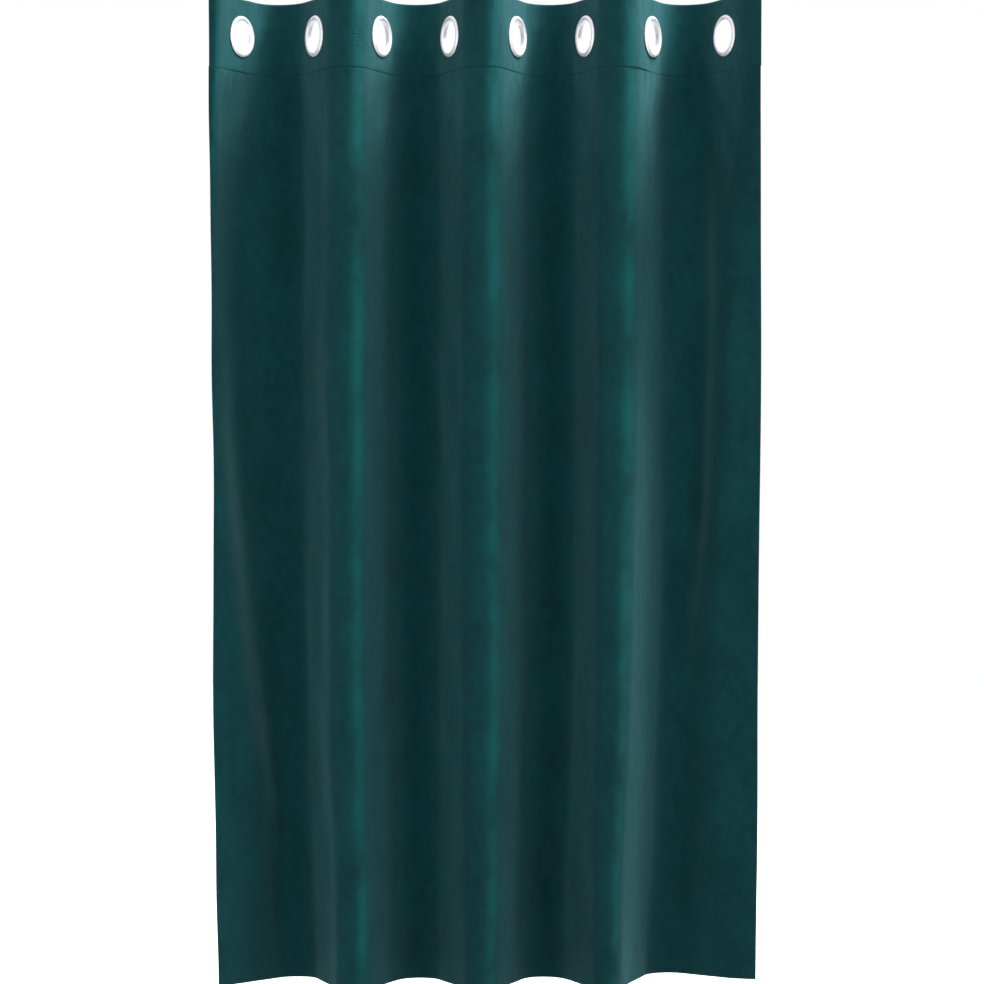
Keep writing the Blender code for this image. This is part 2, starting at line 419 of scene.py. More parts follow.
class NodeBench:
    """A node tree, and the one way in which nodes are added to it."""

    def __init__(self, tree: bpy.types.NodeTree) -> None:
        """Clear the tree and start with none of its nodes."""
        self.tree = tree
        tree.nodes.clear()

    def node(
        self,
        kind: str,
        settings: dict[str, Any] | None = None,
        values: dict[str | int, Any] | None = None,
    ) -> bpy.types.Node:
        """Add a node.

        Args:
            kind: Its type, such as ShaderNodeMath.
            settings: Its own settings, which are set first.
            values: A number, colour, vector, signal or socket for each input.

        Returns:
            The node.
        """
        made = self.tree.nodes.new(kind)
        for name, value in (settings or {}).items():
            setattr(made, name, value)
        for name, value in (values or {}).items():
            self.plug(made.inputs[name], value)
        return made

    def plug(self, socket: bpy.types.NodeSocket, value: Any) -> None:
        """Link a signal or socket into an input, or give the input a value.

        Args:
            socket: The input.
            value: The signal, socket, number, vector or colour.
        """
        source = value.socket if isinstance(value, Signal) else value
        if isinstance(source, bpy.types.NodeSocket):
            self.tree.links.new(source, socket)
        else:
            socket.default_value = (*source, 1.0) if socket.type == "RGBA" else source

    def signal(self, kind: str, output: str, settings: dict, values: dict) -> Signal:
        """Add a node and take one of its outputs as a signal."""
        return Signal(self, self.node(kind, settings, values).outputs[output])

    def stretched(self, place: bpy.types.NodeSocket, scale: Point) -> bpy.types.NodeSocket:
        """Scale a coordinate along its three axes."""
        node = self.node("ShaderNodeVectorMath", {"operation": "MULTIPLY"}, {0: place, 1: scale})
        return node.outputs[0]

    def noise(
        self, place: bpy.types.NodeSocket, per_metre: Point, detail: float = 2.0, rough: float = 0.5
    ) -> Signal:
        """Add soft noise.

        Args:
            place: The coordinate that it follows, in metres.
            per_metre: Its patches per metre along each axis.
            detail: How many finer layers it has.
            rough: How strong those are.

        Returns:
            The noise, from 0 to 1 and mostly near a half.
        """
        values = {
            "Vector": self.stretched(place, per_metre),
            "Scale": 1.0,
            "Detail": detail,
            "Roughness": rough,
        }
        return self.signal("ShaderNodeTexNoise", "Fac", {}, values)

    def blended(self, factor: Any, first: Any, second: Any) -> bpy.types.NodeSocket:
        """Mix two colours.

        Args:
            factor: 0 for the first colour and 1 for the second.
            first: A colour or its socket.
            second: A colour or its socket.

        Returns:
            The mixed colour's socket.
        """
        settings = {"data_type": "RGBA", "clamp_factor": True}
        values = dict(zip(MIX_INPUTS, (factor, first, second)))
        return self.node("ShaderNodeMix", settings, values).outputs[MIX_RESULT]

    def relief(self, height: Signal, depth: float) -> bpy.types.NodeSocket:
        """Add a Bump node whose full height is depth, in metres."""
        values = {"Height": height, "Distance": depth, "Strength": 1.0}
        return self.node("ShaderNodeBump", {}, values).outputs["Normal"]

    def surface(self, values: dict[str, Any]) -> None:
        """Add the main shader with these inputs, and the output."""
        shader = self.node("ShaderNodeBsdfPrincipled", {}, values)
        self.node("ShaderNodeOutputMaterial", {}, {"Surface": shader.outputs["BSDF"]})


def new_material(name: str) -> tuple[bpy.types.Material, NodeBench]:
    """Start a material.

    Args:
        name: Its name.

    Returns:
        The material, and an empty bench for its nodes.
    """
    made = bpy.data.materials.new(name)
    made.use_nodes = True
    return made, NodeBench(made.node_tree)


# ------------------------------------------------------------------ finishes


@dataclass(frozen=True)
class VelvetFinish:
    """The pile side of the velvet: a deep ground, a soft sheen, and painted light along the folds.

    The right shoulders of the crests, where the cloth turns towards the lamps on the right,
    get a painted highlight in a lighter colour. Along the soft folds a paler colour is
    painted sheen. Each scale counts a pattern's patches per metre, along the width and
    along the drop.
    """

    name: str = "teal_velvet_pile"
    deep: Colour = (0.0018, 0.035, 0.0385)
    brushed: Colour = (0.0035, 0.067, 0.0735)
    # Painted highlight colour for the crests' right shoulders, and how much of it shows.
    ridge: Colour = (0.0040, 0.132, 0.133)
    painted_highlight_share: float = 0.42
    painted_highlight_patching: float = 2.4
    # Painted sheen colour along the soft folds, and how much of it shows.
    painted_sheen: Colour = (0.031, 0.102, 0.104)
    painted_sheen_share: float = 0.8
    painted_sheen_patching: float = 1.6
    patch_scale: Point = (18, 11, 1)
    patch_weight: float = 1.4
    stroke_scale: Point = (90, 60, 1)
    stroke_weight: float = 1.2
    pile_scale: Point = (900, 700, 1)
    pile_weight: float = 0.8
    nap_scale: Point = (60, 42, 1)
    crease_scale: Point = (55, 130, 1)
    crease_sharpness: float = 9.0
    worn_scale: Point = (30, 24, 1)
    worn_above: float = 0.56
    worn_contrast: float = 7.0
    sheen_tint: Colour = (0.38, 0.92, 1.0)
    sheen: float = 0.2
    sheen_roughness: float = 0.65
    roughness: float = 0.85
    specular: float = 0.05
    grain_depth: float = 0.25 * MM
    nap_depth: float = 0.9 * MM
    crease_depth: float = 0.4 * MM

    def material(self) -> bpy.types.Material:
        """Make the material.

        Returns:
            The material, which follows the cloth's own map in metres.
        """
        made, bench = new_material(self.name)
        cloth = bench.node("ShaderNodeUVMap", {"uv_map": CLOTH_MAP}).outputs["UV"]
        patches = bench.noise(cloth, self.patch_scale, detail=4.0, rough=0.55)
        strokes = bench.noise(cloth, self.stroke_scale, rough=0.55)
        pile = bench.noise(cloth, self.pile_scale, rough=0.6)
        patched = patches - 0.5
        tone = 0.5 + self.patch_weight * patched
        tone = tone + self.stroke_weight * (strokes - 0.5) + self.pile_weight * (pile - 0.5)
        nap = bench.noise(cloth, self.nap_scale, detail=1.5)
        ridges = bench.noise(cloth, self.crease_scale, detail=3.0, rough=0.65)
        where = bench.noise(cloth, self.worn_scale, detail=1.0)
        worn = ((where - self.worn_above) * self.worn_contrast).clipped()
        creases = (1.0 - abs(2.0 * ridges - 1.0)) ** self.crease_sharpness * worn
        height = (
            pile
            + nap * (self.nap_depth / self.grain_depth)
            + creases * (self.crease_depth / self.grain_depth)
        )
        colour = bench.blended(tone.clipped(), self.deep, self.brushed)
        # Painted light from the second map: a painted highlight on the crests' right shoulders (X)
        # and painted sheen along the soft folds (Y).
        painted_light = bench.node("ShaderNodeUVMap", {"uv_map": PAINTED_LIGHT_MAP}).outputs["UV"]
        ridge = bench.signal("ShaderNodeSeparateXYZ", "X", {}, {"Vector": painted_light})
        painted_sheen_amount = bench.signal("ShaderNodeSeparateXYZ", "Y", {}, {"Vector": painted_light})
        highlighted = (ridge * (self.painted_highlight_share + self.painted_highlight_patching * patched)).clipped()
        # Painted sheen: a paler colour along the soft folds.
        painted_sheen_mix = (painted_sheen_amount * (self.painted_sheen_share + self.painted_sheen_patching * patched)).clipped()
        # The painted highlight, then the painted sheen, laid over the ground colour.
        with_painted_highlight = bench.blended(highlighted, colour, self.ridge)
        bench.surface(
            {
                "Base Color": bench.blended(painted_sheen_mix, with_painted_highlight, self.painted_sheen),
                "Roughness": self.roughness,
                "Specular IOR Level": self.specular,
                "Sheen Weight": self.sheen,
                "Sheen Roughness": self.sheen_roughness,
                "Sheen Tint": self.sheen_tint,
                "Normal": bench.relief(height, self.grain_depth),
            }
        )
        return made


@dataclass(frozen=True)
class BackingFinish:
    """The back of the velvet: a plain close weave without pile."""

    name: str = "teal_velvet_backing"
    shade: Colour = (0.006, 0.044, 0.048)
    thread: Colour = (0.012, 0.07, 0.075)
    threads_per_metre: float = 1400.0
    slubs_per_metre: float = 40.0
    weave_weight: float = 1.6
    weave_depth: float = 0.12 * MM
    patch_scale: Point = (12, 8, 1)
    patch_weight: float = 0.6
    roughness: float = 0.9
    roughness_spread: float = 0.1
    specular: float = 0.25
    sheen: float = 0.08
    sheen_roughness: float = 0.5
    sheen_tint: Colour = (0.6, 0.75, 0.78)

    def material(self) -> bpy.types.Material:
        """Make the material.

        Returns:
            The material, which follows the cloth's own map in metres.
        """
        made, bench = new_material(self.name)
        cloth = bench.node("ShaderNodeUVMap", {"uv_map": CLOTH_MAP}).outputs["UV"]
        fine, coarse = self.threads_per_metre, self.slubs_per_metre
        warp = bench.noise(cloth, (fine, coarse, 1), detail=1.0)
        weft = bench.noise(cloth, (coarse, fine, 1), detail=1.0)
        weave = (warp + weft) * 0.5
        patches = bench.noise(cloth, self.patch_scale, detail=3.0)
        tone = 0.5 + self.weave_weight * (weave - 0.5) + self.patch_weight * (patches - 0.5)
        bench.surface(
            {
                "Base Color": bench.blended(tone.clipped(), self.shade, self.thread),
                "Roughness": self.roughness - self.roughness_spread * patches,
                "Specular IOR Level": self.specular,
                "Sheen Weight": self.sheen,
                "Sheen Roughness": self.sheen_roughness,
                "Sheen Tint": self.sheen_tint,
                "Normal": bench.relief(weave, self.weave_depth),
            }
        )
        return made


@dataclass(frozen=True)
class ThreadFinish:
    """Spun sewing thread, a shade deeper than the velvet."""

    name: str = "teal_sewing_thread"
    shade: Colour = (0.002, 0.016, 0.018)
    light: Colour = (0.006, 0.04, 0.043)
    twist_scale: Point = (1500, 1500, 900)
    twist_depth: float = 0.05 * MM
    roughness: float = 0.6
    roughness_spread: float = 0.2
    specular: float = 0.35

    def material(self) -> bpy.types.Material:
        """Make the material, twisted strand by strand.

        Returns:
            The material, which follows the thread's own coordinates.
        """
        made, bench = new_material(self.name)
        place = bench.node("ShaderNodeTexCoord").outputs["Object"]
        twist = bench.noise(place, self.twist_scale, detail=1.0)
        bench.surface(
            {
                "Base Color": bench.blended(twist, self.shade, self.light),
                "Roughness": self.roughness + self.roughness_spread * twist,
                "Specular IOR Level": self.specular,
                "Normal": bench.relief(twist, self.twist_depth),
            }
        )
        return made


@dataclass(frozen=True)
class MetalFinish:
    """Satin silver plating, with the faint marks of polishing."""

    name: str = "satin_silver_plating"
    bright: Colour = (0.74, 0.73, 0.76)
    dull: Colour = (0.66, 0.65, 0.68)
    roughness: float = 0.68
    cloud_scale: Point = (160, 160, 160)
    cloud_spread: float = 0.1
    mark_scale: Point = (2200, 2200, 500)
    mark_spread: float = 0.12
    mark_depth: float = 0.02 * MM

    def material(self) -> bpy.types.Material:
        """Make the material, with marks of about half a millimetre.

        Returns:
            The material, which follows the metal's own coordinates.
        """
        made, bench = new_material(self.name)
        place = bench.node("ShaderNodeTexCoord").outputs["Object"]
        clouds = bench.noise(place, self.cloud_scale, detail=3.0)
        marks = bench.noise(place, self.mark_scale)
        unevenness = self.mark_spread * (marks - 0.5) + self.cloud_spread * (clouds - 0.5)
        bench.surface(
            {
                "Base Color": bench.blended(clouds, self.dull, self.bright),
                "Metallic": 1.0,
                "Roughness": self.roughness + unevenness,
                "Normal": bench.relief(marks, self.mark_depth),
            }
        )
        return made


# ------------------------------------------------------------------ modelling tools


def linked(name: str, data: bpy.types.ID) -> bpy.types.Object:
    """Make an object and put it in the scene.

    Args:
        name: Its name.
        data: Its mesh, light or camera.

    Returns:
        The object.
    """
    made = bpy.data.objects.new(name, data)
    bpy.context.scene.collection.objects.link(made)
    return made


def deselect_all() -> None:
    """Leave object mode's selection empty."""
    bpy.ops.object.select_all(action="DESELECT")


def apply_modifiers(obj: bpy.types.Object) -> None:
    """Apply an object's modifiers in their order.

    Args:
        obj: The object.
    """
    deselect_all()
    bpy.context.view_layer.objects.active = obj
    obj.select_set(True)
    for modifier in list(obj.modifiers):
        bpy.ops.object.modifier_apply(modifier=modifier.name)
    obj.select_set(False)


def settle(obj: bpy.types.Object, node_names: Sequence[str]) -> None:
    """Tie a finished piece to the part.

    Args:
        obj: The piece.
        node_names: The solids that it stands for.
    """
    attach(obj, "root")
    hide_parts(*node_names)
    log.info("%s: %d faces", obj.name, len(obj.data.polygons))


# ------------------------------------------------------------------ cloth


@dataclass
class Relief:
    """A small relief on the cloth's front: the sum of seeded waves.

    Each range is the shortest and the longest wave in metres, along the width and
    along the drop.
    """

    seed: int
    height: float
    widths: tuple[float, float]
    drops: tuple[float, float]
    waves: int = 24

    def at(self, stations: np.ndarray, z: float) -> np.ndarray:
        """Give the relief along one row.

        Args:
            stations: Distances from the left edge, with the cloth laid flat.
            z: The row's height.

        Returns:
            How far the cloth stands proud there.
        """
        draw = np.random.default_rng(self.seed)
        total = np.zeros_like(stations)
        for _ in range(self.waves):
            width = draw.uniform(*self.widths) * draw.choice((-1, 1))
            drop = draw.uniform(*self.drops)
            phase = draw.uniform(0, 2 * math.pi)
            total += np.sin(2 * math.pi * (stations / width + z / drop) + phase)
        return self.height * total / math.sqrt(self.waves / 2)


def smooth_step(low: float, high: float, values: Any) -> Any:
    """Rise from 0 at low to 1 at high, flat at both ends."""
    share = np.clip((values - low) / (high - low), 0.0, 1.0)
    return share * share * (3 - 2 * share)


def thinned(least: float, low: float, high: float, values: Any) -> Any:
    """Rise from the least share at low to the whole at high."""
    return least + (1 - least) * smooth_step(low, high, values)


@dataclass
class Eyelets:
    """The row of metal eyelets: a domed front half and a washer behind, eight times.

    flanks gives each eyelet's flank and its place along it, as a share from left to right.
    """

    hang: Hang
    cloth_thickness: float
    drop: float = 52 * MM
    clear_radius: float = 21.9 * MM
    outer_radius: float = 28.5 * MM
    barrel_wall: float = 0.9 * MM
    barrel_reach: float = 2.0 * MM
    front_rise: float = 3.0 * MM
    back_rise: float = 2.2 * MM
    gap: float = 0.3 * MM
    ring_steps: int = 96
    flanks: tuple[tuple[int, float], ...] = (
        (0, 0.61),
        (2, 0.50),
        (3, 0.55),
        (4, 0.45),
        (5, 0.60),
        (6, 0.49),
        (7, 0.60),
        (8, 0.46),
    )
    dome_steps: int = 12
    crown_share: float = 0.52
    rim_ease: float = 0.15 * MM
    edge_ease: float = 0.3 * MM
    throat_ease: float = 0.4 * MM
    lip_fall: float = 0.6 * MM
    weld: float = 0.001 * MM
    sharp_angle: float = 45.0
    finish: MetalFinish = field(default_factory=MetalFinish)

    @property
    def hole_radius(self) -> float:
        """The hole in the cloth, a little wider than the barrel."""
        return self.clear_radius + self.barrel_wall + self.gap

    def places(self) -> list[Matrix]:
        """Find each eyelet's place.

        Returns:
            The places from left to right, each with +Z square out of the cloth's front.
        """
        section = self.hang.section(0.0)
        found = []
        for i, share in self.flanks:
            start, end = section.flank(i)
            centre = start.lerp(end, share).to_3d() - Vector((0, 0, self.drop))
            angle = section.angles[i + 1]
            axes = (Vector((0, 0, 1)), -along(angle).to_3d(), -backward(angle).to_3d())
            found.append(Matrix.Translation(centre) @ Matrix(axes).transposed().to_4x4())
        return found

    def stations(self) -> list[float]:
        """Find where the eyelets are on the flat cloth.

        Returns:
            Each eyelet's distance from the left edge, with the cloth laid flat.
        """
        section = self.hang.section(0.0)
        place = section.first_reach
        shares = dict(self.flanks)
        found = []
        for i in range(len(TURNS) - 1):
            place += section.circles[i][1] * (section.angles[i + 1] - section.angles[i])
            start, end = section.flank(i)
            if i in shares:
                found.append(place + shares[i] * (end - start).length)
            place += (end - start).length
        return found

    def front_profile(self) -> list[tuple[float, float]]:
        """Draw the domed flange with its barrel.

        Returns:
            A closed outline of (radius, height) points.
        """
        seat = self.cloth_thickness / 2 + self.gap
        end = -self.cloth_thickness / 2 - self.barrel_reach
        width = self.outer_radius - self.clear_radius
        crown = self.clear_radius + self.crown_share * width
        barrel = self.clear_radius + self.barrel_wall
        points = []
        for k in range(self.dome_steps + 1):
            turn = math.pi / 2 * k / self.dome_steps
            radius = crown + (self.outer_radius - crown) * math.sin(turn)
            points.append((radius, seat + self.front_rise * math.cos(turn)))
        points[-1] = (self.outer_radius, seat + self.rim_ease)
        points += [
            (self.outer_radius - self.rim_ease, seat),
            (barrel + self.throat_ease, seat),
            (barrel, seat - self.throat_ease),
            (barrel, end + self.edge_ease),
            (self.clear_radius + self.barrel_wall / 2, end),
            (self.clear_radius, end + self.edge_ease),
            (self.clear_radius, seat - self.lip_fall),
        ]
        for k in range(self.dome_steps):
            turn = math.pi / 2 * k / self.dome_steps
            radius = crown - (crown - self.clear_radius) * math.cos(turn)
            points.append((radius, seat + self.front_rise * math.sin(turn)))
        return points

    def back_profile(self) -> list[tuple[float, float]]:
        """Draw the washer behind the cloth.

        Returns:
            A closed outline of (radius, height) points.
        """
        seat = -self.cloth_thickness / 2 - self.gap
        inner, ease = self.hole_radius, self.edge_ease
        middle = (inner + self.outer_radius) / 2
        half = (self.outer_radius - inner) / 2
        points = [(inner, seat - ease), (inner + ease, seat), (self.outer_radius - ease, seat)]
        for k in range(self.dome_steps):
            turn = math.pi * k / self.dome_steps
            fall = ease + (self.back_rise - ease) * math.sin(turn)
            points.append((middle + half * math.cos(turn), seat - fall))
        return points

    def spun(self, name: str, profile: list[tuple[float, float]]) -> bpy.types.Object:
        """Turn a closed profile into a ring round +Z.

        Args:
            name: The ring's name.
            profile: Its (radius, height) points.

        Returns:
            The ring, at the origin.
        """
        deselect_all()
        bpy.ops.mesh.primitive_circle_add(vertices=len(profile), radius=self.outer_radius)
        ring = bpy.context.object
        ring.name = ring.data.name = name
        for vert, (radius, height) in zip(ring.data.vertices, profile):
            vert.co = (radius, 0.0, height)
        bpy.ops.object.mode_set(mode="EDIT")
        bpy.ops.mesh.select_all(action="SELECT")
        bpy.ops.mesh.spin(
            steps=self.ring_steps, angle=2 * math.pi, center=(0, 0, 0), axis=(0, 0, 1)
        )
        bpy.ops.mesh.select_all(action="SELECT")
        bpy.ops.mesh.remove_doubles(threshold=self.weld)
        bpy.ops.mesh.normals_make_consistent(inside=False)
        bpy.ops.object.mode_set(mode="OBJECT")
        ring.matrix_world = Matrix.Identity(4)
        bpy.ops.object.shade_smooth_by_angle(angle=math.radians(self.sharp_angle))
        return ring

    def build(self) -> list[bpy.types.Object]:
        """Model both halves once and set a copy of each in every hole.

        Returns:
            The rings, the front ones first.
        """
        metal = self.finish.material()
        found = []
        for half, profile in (("front", self.front_profile()), ("back", self.back_profile())):
            pattern = self.spun(f"eyelet_{half}_pattern", profile)
            pattern.data.materials.append(metal)
            for number, place in enumerate(self.places(), start=1):
                mesh = pattern.data.copy()
                mesh.transform(place)
                ring = linked(f"ring_{half}_{number}", mesh)
                settle(ring, [f"eyelet_{half}_{number}"])
                found.append(ring)
            bpy.data.objects.remove(pattern)
        return found


@dataclass
class VelvetSheet:
    """One sheet of the velvet, pushed from a flat grid into the folds.

    lean is how far the cloth turns to the right, in degrees, where the painted highlight
    is strongest, and the spread after it how soon that fades. The two distances after those
    are how far in front of the fold's middle the painted highlight starts and is whole.
    rims are the extra columns' distances from a side edge.
    """

    hang: Hang
    name: str
    nodes: tuple[str, ...]
    slot: str
    thickness: float
    columns: int
    rims: tuple[float, ...] = (0.6 * MM, 1.6 * MM, 2.8 * MM)
    overhang: float = 0.0
    overhang_from: float = 0.97
    hem_from: float = 17 * MM
    hem_to: float = 21 * MM
    hem_rise: float = 0.35 * MM
    edge_fullness: float = 0.35
    edge_round: float = 2.5 * MM
    lean: float = 28.0
    painted_highlight_spread: float = 17.0
    painted_highlight_from: float = 5 * MM
    painted_highlight_full: float = 40 * MM
    sway: Relief = field(
        default_factory=lambda: Relief(
            seed=11, height=0.45 * MM, widths=(70 * MM, 160 * MM), drops=(200 * MM, 600 * MM)
        )
    )

    def heights(self) -> np.ndarray:
        """List the rows' heights, from the top down."""
        raise NotImplementedError

    def fullness(self, z: float) -> float:
        """Give the thickness at a height, as a share of the whole."""
        raise NotImplementedError

    def relief(self, stations: np.ndarray, z: float) -> np.ndarray:
        """Give how far the cloth stands proud of its fold along one row."""
        hem = 1 - smooth_step(self.hem_from, self.hem_to, self.hang.from_edge(stations))
        return self.hem_rise * hem + self.sway.at(stations, z)

    def stations(self) -> np.ndarray:
        """List the columns, finer at both sides.

        Returns:
            Their distances from the left edge, with the cloth laid flat.
        """
        rims = np.array(self.rims)
        even = np.linspace(0.0, self.hang.flat_width, self.columns + 1 - 2 * len(rims))
        return np.sort(np.concatenate([even, rims, self.hang.flat_width - rims]))

    def ridge(self, points: np.ndarray, fronts: np.ndarray) -> np.ndarray:
        """Find the painted highlight's share along one row, from 0 to 1 on a crest's right
        shoulder.

        Args:
            points: The row's (x, y) points.
            fronts: The unit vectors out of its front there.

        Returns:
            The share at each point.
        """
        turned = np.degrees(np.arctan2(fronts[:, 0], -fronts[:, 1]))
        shoulder = np.exp(-(((turned - self.lean) / self.painted_highlight_spread) ** 2))
        return shoulder * smooth_step(self.painted_highlight_from, self.painted_highlight_full, -points[:, 1])

    def painted_sheen(self, points: np.ndarray, z: float) -> np.ndarray:
        """Give the painted sheen's share along one row, from 0 to 1: none here."""
        return np.zeros(len(points))

    def placed(self, heights: np.ndarray, stations: np.ndarray) -> tuple[np.ndarray, np.ndarray]:
        """Work out where the cloth hangs and where light is painted on it.

        Args:
            heights: The rows' heights.
            stations: The columns' distances from the left edge, with the cloth laid flat.

        Returns:
            The (x, y, z) points, and the painted highlight and painted sheen shares, row by row.
        """
        surface = np.zeros((len(heights), len(stations), 3))
        shares = np.zeros((len(heights), len(stations), 2))
        wide = (stations / self.hang.flat_width) * 2 - 1
        outward = np.sign(wide) * smooth_step(self.overhang_from, 1.0, np.abs(wide))
        for i, z in enumerate(heights):
            points, fronts = self.hang.row(z, stations)
            shares[i] = np.column_stack([self.ridge(points, fronts), self.painted_sheen(points, z)])
            points = points + fronts * self.relief(stations, z)[:, None]
            points[:, 0] += self.overhang * outward
            surface[i, :, :2] = self.settled(points, stations, z)
            surface[i, :, 2] = z
        return surface, shares

    def hung(self) -> bpy.types.Object:
        """Push a flat grid into the folds.

        Returns:
            The sheet, still without thickness, with its map in metres and the map of its painted
            highlight and painted sheen.
        """
        heights = self.heights()
        stations = self.stations()
        rows, columns = len(heights) - 1, len(stations) - 1
        surface, shares = self.placed(heights, stations)
        deselect_all()
        bpy.ops.mesh.primitive_grid_add(x_subdivisions=columns, y_subdivisions=rows, size=1)
        sheet = bpy.context.object
        sheet.name = sheet.data.name = self.name
        mesh = sheet.data
        flat = np.empty(len(mesh.vertices) * 3)
        mesh.vertices.foreach_get("co", flat)
        flat = flat.reshape(-1, 3)
        column = np.rint((flat[:, 0] + 0.5) * columns).astype(int)
        row = np.rint((0.5 - flat[:, 1]) * rows).astype(int)
        mesh.vertices.foreach_set("co", surface[row, column].ravel())
        corners = np.empty(len(mesh.loops), int)
        mesh.loops.foreach_get("vertex_index", corners)
        while mesh.uv_layers:
            mesh.uv_layers.remove(mesh.uv_layers[0])
        laid = np.column_stack([stations[column], -heights[row]])
        for name, values in ((CLOTH_MAP, laid), (PAINTED_LIGHT_MAP, shares[row, column])):
            mesh.uv_layers.new(name=name).data.foreach_set("uv", values[corners].ravel())
        group = sheet.vertex_groups.new(name="fullness")
        thin = thinned(self.edge_fullness, 0.0, self.edge_round, self.hang.from_edge(stations))
        for vert in range(len(mesh.vertices)):
            weight = min(thin[column[vert]], self.fullness(heights[row[vert]]))
            group.add([vert], weight, "REPLACE")
        mesh.update()
        return sheet

    def settled(self, points: np.ndarray, stations: np.ndarray, z: float) -> np.ndarray:
        """Shift a row's points where the cloth leaves its even folds."""
        return points

    def thickened(self, sheet: bpy.types.Object) -> None:
        """Give the sheet its thickness and a back without pile.

        Args:
            sheet: The sheet.
        """
        solidify = sheet.modifiers.new("thickness", "SOLIDIFY")
        solidify.thickness = self.thickness
        solidify.offset = 0.0
        solidify.use_even_offset = True
        solidify.use_rim = True
        solidify.vertex_group = "fullness"
        solidify.material_offset = 1
        apply_modifiers(sheet)

    def build(self, pile: bpy.types.Material, backing: bpy.types.Material) -> bpy.types.Object:
        """Make the sheet.

        Args:
            pile: The material of its front and its edges.
            backing: The material of its back.

        Returns:
            The sheet, in its place.
        """
        sheet = self.hung()
        sheet.data.materials.append(pile)
        sheet.data.materials.append(backing)
        self.thickened(sheet)
        sheet.data.shade_smooth()
        settle(sheet, self.nodes)
        return sheet


@dataclass
class Heading(VelvetSheet):
    """The doubled strip along the top, with a round hole for each eyelet.

    top_rows and low_rows are the close rows' distances from the top edge and the seam,
    in millimetres.
    """

    eyelets: Eyelets | None = None
    row_step: float = 3 * MM
    even_from: float = 6 * MM
    even_to: float = 5 * MM
    top_rows: tuple[float, ...] = (0.0, 0.5, 1.2, 2.2, 3.6)
    low_rows: tuple[float, ...] = (3.6, 2.4, 1.5, 0.7, 0.0)
    hole_steps: int = 96
    punch_depth: float = 28.8 * MM
    flat_radius: float = 30 * MM
    free_radius: float = 42 * MM
    press_radius: float = 30.5 * MM
    press_width: float = 3 * MM
    press_depth: float = 0.25 * MM
    turned_edge: float = 11 * MM
    edge_fall: float = 3.2 * MM
    edge_curve: float = 1.2
    top_fullness: float = 0.45
    top_round: float = 2.2 * MM
    seam_fullness: float = 0.32
    seam_round: float = 2.0 * MM

    def heights(self) -> np.ndarray:
        """List the rows, close together at the top edge and the seam.

        Returns:
            Their heights, from the top down.
        """
        depth = self.hang.heading_depth
        even = np.arange(self.even_from, depth - self.even_to, self.row_step)
        top = np.array(self.top_rows) * MM
        low = depth - np.array(self.low_rows) * MM
        return -np.concatenate([top, even, low])

    def fullness(self, z: float) -> float:
        """Round the top fold, and draw the lower edge into the seam.

        Args:
            z: The height.

        Returns:
            The thickness there, as a share of the whole.
        """
        top = thinned(self.top_fullness, 0.0, self.top_round, -z)
        low = thinned(self.seam_fullness, 0.0, self.seam_round, -self.hang.below_seam(z))
        return float(min(top, low))

    def relief(self, stations: np.ndarray, z: float) -> np.ndarray:
        """Keep the cloth flat under the eyelets, and press it in round them.

        Args:
            stations: Distances from the left edge, with the cloth laid flat.
            z: The row's height.

        Returns:
            How far the cloth stands proud there.
        """
        whole = super().relief(stations, z)
        for station in self.eyelets.stations():
            away = np.hypot(stations - station, z + self.eyelets.drop)
            whole = whole * smooth_step(self.flat_radius, self.free_radius, away)
            press = np.exp(-(((away - self.press_radius) / self.press_width) ** 2))
            whole = whole - self.press_depth * press * (away > self.eyelets.outer_radius)
        turned = np.clip(1 - stations / self.turned_edge, 0.0, 1.0)
        return whole - self.edge_fall * turned**self.edge_curve

    def thickened(self, sheet: bpy.types.Object) -> None:
        """Give the strip its thickness, then punch its holes.

        Args:
            sheet: The strip.
        """
        super().thickened(sheet)
        deselect_all()
        punches = []
        for place in self.eyelets.places():
            bpy.ops.mesh.primitive_cylinder_add(
                vertices=self.hole_steps, radius=self.eyelets.hole_radius, depth=self.punch_depth
            )
            punch = bpy.context.object
            punch.data.transform(place)
            punches.append(punch)
        for punch in punches:
            punch.select_set(True)
        bpy.ops.object.join()
        cutter = bpy.context.object
        holes = sheet.modifiers.new("holes", "BOOLEAN")
        holes.operation = "DIFFERENCE"
        holes.object = cutter
        apply_modifiers(sheet)
        bpy.data.objects.remove(cutter)


class Hand(Enum):
    """A side of the curtain, as seen from its front."""

    LEFT = -1
    RIGHT = 1


@dataclass(frozen=True)
class SoftFold:
    """A soft shoulder down the cloth: it stands proud on one hand of a line.

    path gives (depth below the top, x) points from the top down, and faded the depths
    at which it begins, is whole, begins to end and has ended.
    """

    proud_hand: Hand
    path: tuple[tuple[float, float], ...]
    faded: tuple[float, float, float, float]
    proud: float
    width: float = 13 * MM
    reach: float = 50 * MM
    # Painted sheen along the line: its strength and its width.
    painted_sheen_amount: float = 1.0
    painted_sheen_width: float = 7 * MM

    def share(self, z: float) -> float:
        """Give how much of the fold there is at a height, from 0 to 1."""
        begins, whole, ends, ended = self.faded
        return float(smooth_step(begins, whole, -z) - smooth_step(ends, ended, -z))

    def away(self, points: np.ndarray, z: float) -> np.ndarray:
        """Give how far a row's points lie from the line, towards its proud hand."""
        depths, places = zip(*self.path)
        return self.proud_hand.value * (points[:, 0] - np.interp(-z, depths, places))

    def forward(self, points: np.ndarray, z: float) -> np.ndarray:
        """Give how far the cloth stands forward along one row.

        Args:
            points: The row's (x, y) points.
            z: The row's height.

        Returns:
            The distance towards the front at each point.
        """
        away = self.away(points, z)
        rise = 1 - smooth_step(self.width / 2, self.reach, away)
        step = smooth_step(-self.width / 2, self.width / 2, away)
        return self.proud * self.share(z) * rise * step

    def painted_sheen(self, points: np.ndarray, z: float) -> np.ndarray:
        """Give the painted sheen's share along the line, from 0 to 1."""
        near = np.exp(-((self.away(points, z) / self.painted_sheen_width) ** 2))
        return self.painted_sheen_amount * self.share(z) * near


